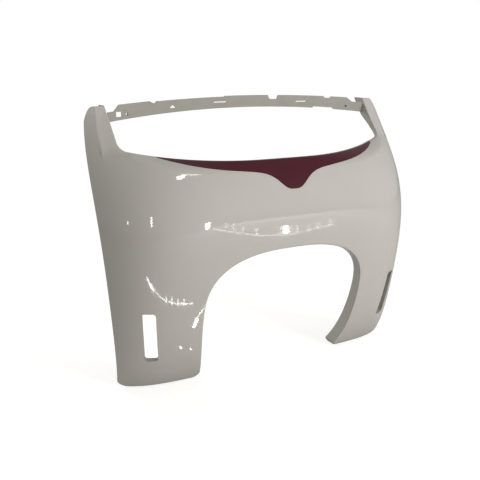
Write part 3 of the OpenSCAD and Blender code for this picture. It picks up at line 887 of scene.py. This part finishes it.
class PANEL_OT_film(bpy.types.Operator):
    """Build the maroon film along the lower edge of the opening"""

    bl_idname = "front_panel.film"
    bl_label = "Film"

    def execute(self, context):
        skin = Skin(context.scene.panel_shell)
        laid = np.linspace(-FILM_HALF_W, FILM_HALF_W, FILM_COLUMNS)[:, None]
        across = laid + FILM_SHIFT
        x = np.abs(across)
        k = np.where(x <= skin.hood_run, x * ARCH / skin.hood_run,
                     ARCH + (FOOT - ARCH) * part_of(x, skin.hood_run, skin.foot_x))
        top = skin.band(k, 1.0 + 0 * k)
        on = unit(skin.band(k, 0.8 + 0 * k) - top)
        way, _ = skin.upper_return(k)
        edge = skin.rounded(top, way, on, np.linspace(0.1, 1, FILM_EDGE_ROWS)[None, :, None])
        z_top = skin.hood_edge(x)
        z0 = edge[:, -1:, 2]
        low = film_low(skin, laid) + z_top - skin.hood_edge(np.abs(laid))
        z = lerp(z0, low, np.linspace(0, 1, FILM_ROWS)[None, 1:])
        w = part_of(z, skin.crease(x), z_top)
        face = points(x + 0 * z, skin.y(x + 0 * z, z) + skin.setback(x) * w ** 1.7, z)
        grid = np.concatenate([edge, face], axis=1)
        grid[..., 0] *= np.sign(across + 1e-9)
        obj = sheet_mesh("maroon_film", grid, FILM_OVER, FILM_UNDER)
        soften(obj, 40)
        dress(obj, gloss_vinyl_film(context.scene.panel_finishes.film_colour), "maroon_film",
              "decal_film")
        return {"FINISHED"}


def area_lamp(name, place, target, size, power, glint=False):
    """An area lamp in metres, turned to its target; a glint shows in reflections alone."""
    lamp = bpy.data.lights.new(name, "AREA")
    lamp.shape, lamp.energy = "RECTANGLE", power
    lamp.size, lamp.size_y = size
    obj = bpy.data.objects.new(name, lamp)
    obj.location = place
    obj.rotation_euler = (Vector(target) - Vector(place)).to_track_quat("-Z", "Y").to_euler()
    obj.visible_camera, obj.visible_glossy, obj.visible_diffuse = False, glint, not glint
    bpy.context.scene.collection.objects.link(obj)
    return obj


# Small lamps that show only mirrored in the gloss. Each row is a streak as it lies in the
# photograph: its two ends and its breadth in pixels, counted from the top left
# corner, and the lamp's brightness
GLINTS = (
    (207.5, 223, 207.5, 229, 5.0, 60),
    (285.7, 225.5, 285.7, 234, 5.0, 60),
    (211, 228, 235, 233, 0.8, 14),
    (235, 233, 262, 235.6, 0.8, 14),
    (262, 235.6, 290, 234.8, 0.8, 14),
    (290, 234.8, 335, 223.5, 0.8, 10),
    (226, 223, 226, 228, 0.9, 20),
    (233.8, 224, 233.8, 231, 0.9, 20),
    (243, 226, 243, 233, 0.9, 20),
    (256.5, 228, 256.5, 235, 1.0, 24),
    (297.3, 225, 297.3, 234, 1.1, 24),
    (308.8, 224, 308.8, 231, 1.0, 20),
    (318.5, 221.5, 318.5, 229, 1.2, 20),
    (331, 219, 329, 227, 1.4, 16),
    (146.5, 277, 151, 287, 1.3, 30),
    (150, 284, 154, 291, 2.2, 30),
    (154, 291, 166, 302, 1.2, 20),
    (166, 302, 190.5, 305, 1.2, 30),
    (166, 296, 166.5, 303, 0.9, 24),
    (172, 297, 172, 305, 1.1, 24),
    (178, 299, 178, 306, 1.1, 24),
    (184, 299, 184, 305, 1.1, 20),
    (193.5, 328, 197.5, 318, 3.6, 60),
    (197.5, 317, 206, 305.5, 1.4, 30),
    (177, 178.5, 184.5, 175.8, 2.4, 60),
    (185, 175, 200, 174.6, 0.8, 20),
    (151.5, 217, 151.5, 227, 1.2, 40),
    (127.7, 221.5, 127.7, 224.5, 1.0, 30),
    (180, 346.5, 181.5, 348.5, 1.8, 50),
    (190, 348.5, 191.5, 350, 1.4, 30),
)
# Metres from the skin to each lamp, the share of the way to the floor where that is nearer,
# a lamp's least breadth in metres, and the strength of them all
GLINT_REACH, GLINT_FLOOR_SHARE, GLINT_THIN, GLINT_STRENGTH = 1.2, 0.85, 0.002, 0.45
# Metres from the camera to a place in front of the skin and to one behind it
SIGHT_NEAR, SIGHT_FAR = 1.0, 1.6


def seen_on_skin(skin, camera, px, py):
    """x and z on the skin, in millimetres, where the sight through a pixel meets it.

    The distance is halved between a point in front of the skin and one behind it.
    """
    eye, turn = np.array(camera.location), np.array(camera.rotation_euler.to_matrix())
    sight = unit(turn @ np.array([px - PHOTO_MID, PHOTO_MID - py, -PHOTO_FOCAL]))
    near, far = SIGHT_NEAR, SIGHT_FAR
    for _ in range(40):
        middle = (near + far) / 2
        x, y, z = (eye + middle * sight) / MM
        if y < skin.y(abs(x), z):
            near = middle
        else:
            far = middle
    return x, z


def glint(skin, camera, px0, py0, px1, py1, breadth, brightness):
    """A lamp placed where the camera sees it mirrored in the skin along the given streak.

    The direction of sight v leaves the skin as v - 2 (v . n) n. The lamp spans the points
    that four such rays reach: the streak's two ends and the two sides of its middle.
    """
    eye, forward = np.array(camera.location), -np.array(camera.rotation_euler.to_matrix())[:, 2]

    def bounce(x, z):
        s, z = skin.s_at(np.array(abs(x)), np.array(z)), np.array(float(z))
        flip = np.array([np.sign(x) or 1.0, 1.0, 1.0])
        here, n = skin.at(s, z) * flip * MM, skin.normal(s, z) * flip
        v = unit(here - eye)
        return here, v - 2 * (v @ n) * n

    x0, z0 = seen_on_skin(skin, camera, px0, py0)
    x1, z1 = seen_on_skin(skin, camera, px1, py1)
    x, z = (x0 + x1) / 2, (z0 + z1) / 2
    middle, way = bounce(x, z)
    half = breadth / 2 * (middle - eye) @ forward / MM / PHOTO_FOCAL
    side = np.array([z0 - z1, x1 - x0]) / np.hypot(x1 - x0, z1 - z0) * half
    to_floor = middle[2] / -way[2] if way[2] < 0 else np.inf
    reach = min(GLINT_REACH, GLINT_FLOOR_SHARE * to_floor)
    ends = [here + reach * d for here, d in (
        bounce(x0, z0), bounce(x1, z1), bounce(x - side[0], z - side[1]),
        bounce(x + side[0], z + side[1]))]
    out = unit(way)
    along = ends[1] - ends[0]
    along = along - (along @ out) * out
    up = np.cross(out, unit(along))
    size = np.linalg.norm(along), max(abs((ends[3] - ends[2]) @ up), GLINT_THIN)
    obj = area_lamp("glint", middle + reach * way, middle, size,
                    GLINT_STRENGTH * brightness * np.pi * size[0] * size[1], glint=True)
    obj.rotation_euler = Matrix(np.stack([unit(along), up, out], axis=1).tolist()).to_euler()


def floor_material():
    """Pale seamless paper: near the panel it keeps the soft shadow, and it fades to white."""
    material, tree = new_material("pale_studio_paper")
    path = add_node(tree, "ShaderNodeLightPath")
    place = add_node(tree, "ShaderNodeTexCoord").outputs["Object"]
    away = add_node(tree, "ShaderNodeVectorMath", operation="LENGTH", inputs={0: place})
    fade = add_node(tree, "ShaderNodeMapRange", interpolation_type="SMOOTHSTEP", inputs={
        "Value": away.outputs["Value"], "From Min": 0.35, "From Max": 1.1})
    paper = add_node(tree, "ShaderNodeBsdfDiffuse", inputs={"Color": (*srgb("#C8C8C4"), 1.0)})
    glow = add_node(tree, "ShaderNodeEmission", inputs={"Color": (1, 1, 1, 1), "Strength": 0.66})
    white = add_node(tree, "ShaderNodeEmission", inputs={"Color": (1, 1, 1, 1), "Strength": 1.0})
    near = add_node(tree, "ShaderNodeAddShader", inputs={
        0: paper.outputs["BSDF"], 1: glow.outputs["Emission"]})
    shown = add_node(tree, "ShaderNodeMixShader", inputs={
        "Fac": fade.outputs["Result"], 1: near.outputs["Shader"], 2: white.outputs["Emission"]})
    mix = add_node(tree, "ShaderNodeMixShader", inputs={
        "Fac": path.outputs["Is Camera Ray"], 1: paper.outputs["BSDF"],
        2: shown.outputs["Shader"]})
    add_node(tree, "ShaderNodeOutputMaterial", inputs={"Surface": mix.outputs["Shader"]})
    return material


class PANEL_OT_stage(bpy.types.Operator):
    """Set the floor, the lamps and the camera"""

    bl_idname = "front_panel.stage"
    bl_label = "Stage"

    def execute(self, context):
        scene = context.scene
        light = scene.panel_light
        w = FLOOR_HALF_W
        floor = make_object("floor", [(-w, -w, 0), (w, -w, 0), (w, w, 0), (-w, w, 0)],
                            [(0, 1, 2, 3)])
        floor.data.materials.append(floor_material())
        area_lamp("key", (1.22, -2.63, 1.03), (0, 0, 0.25), (1.4, 1.4), light.key_power)
        area_lamp("rear", (-0.8, 2.4, 1.3), (0, 0, 0.3), (1.6, 1.2), light.key_power * 0.4)
        world = bpy.data.worlds.new("studio")
        scene.world = world
        world.use_nodes = True
        tree = world.node_tree
        tree.nodes.clear()
        path = add_node(tree, "ShaderNodeLightPath")
        room = add_node(tree, "ShaderNodeBackground", inputs={
            "Color": (1.0, 0.97, 0.95, 1.0), "Strength": light.world_strength})
        white = add_node(tree, "ShaderNodeBackground", inputs={
            "Color": (1, 1, 1, 1), "Strength": 1.0})
        mix = add_node(tree, "ShaderNodeMixShader", inputs={
            "Fac": path.outputs["Is Camera Ray"],
            1: room.outputs["Background"], 2: white.outputs["Background"]})
        add_node(tree, "ShaderNodeOutputWorld", inputs={"Surface": mix.outputs["Shader"]})
        scene.view_settings.view_transform = "Standard"
        lens = bpy.data.cameras.new("camera")
        lens.lens, lens.sensor_width, lens.sensor_fit = CAMERA_LENS, SENSOR_WIDTH, "HORIZONTAL"
        camera = bpy.data.objects.new("camera", lens)
        camera.location = CAMERA_PLACE
        aim = Vector(CAMERA_AIM) - camera.location
        camera.rotation_euler = aim.to_track_quat("-Z", "Y").to_euler()
        scene.collection.objects.link(camera)
        scene.camera = camera
        skin = Skin(scene.panel_shell)
        for row in GLINTS:
            glint(skin, camera, *row)
        return {"FINISHED"}


class PANEL_PT_sidebar(bpy.types.Panel):
    """Lists the pieces of the front panel and the stage"""

    bl_idname = "PANEL_PT_sidebar"
    bl_label = "Front Panel"
    bl_space_type = "VIEW_3D"
    bl_region_type = "UI"
    bl_category = "Front Panel"

    def draw(self, context):
        layout = self.layout
        for operator in OPERATORS:
            layout.operator(operator.bl_idname, text=operator.bl_label)
        for group in ("panel_shell", "panel_finishes", "panel_light"):
            values = getattr(context.scene, group)
            box = layout.box()
            for key in values.bl_rna.properties.keys():
                if key not in ("rna_type", "name"):
                    box.prop(values, key)


OPERATORS = (PANEL_OT_shell, PANEL_OT_rim, PANEL_OT_bosses, PANEL_OT_film, PANEL_OT_stage)
GROUPS = {"panel_shell": ShellSizes, "panel_finishes": Finishes, "panel_light": StudioLight}


def register():
    for cls in (*GROUPS.values(), *OPERATORS, PANEL_PT_sidebar):
        bpy.utils.register_class(cls)
    for name, group in GROUPS.items():
        setattr(bpy.types.Scene, name, bpy.props.PointerProperty(type=group))


def unregister():
    for name in GROUPS:
        delattr(bpy.types.Scene, name)
    for cls in reversed((*GROUPS.values(), *OPERATORS, PANEL_PT_sidebar)):
        bpy.utils.unregister_class(cls)


def main():
    """Builds every piece, then the stage."""
    register()
    bpy.ops.front_panel.shell()
    bpy.ops.front_panel.rim()
    bpy.ops.front_panel.bosses()
    bpy.ops.front_panel.film()
    bpy.ops.front_panel.stage()


if __name__ == "__main__":
    main()
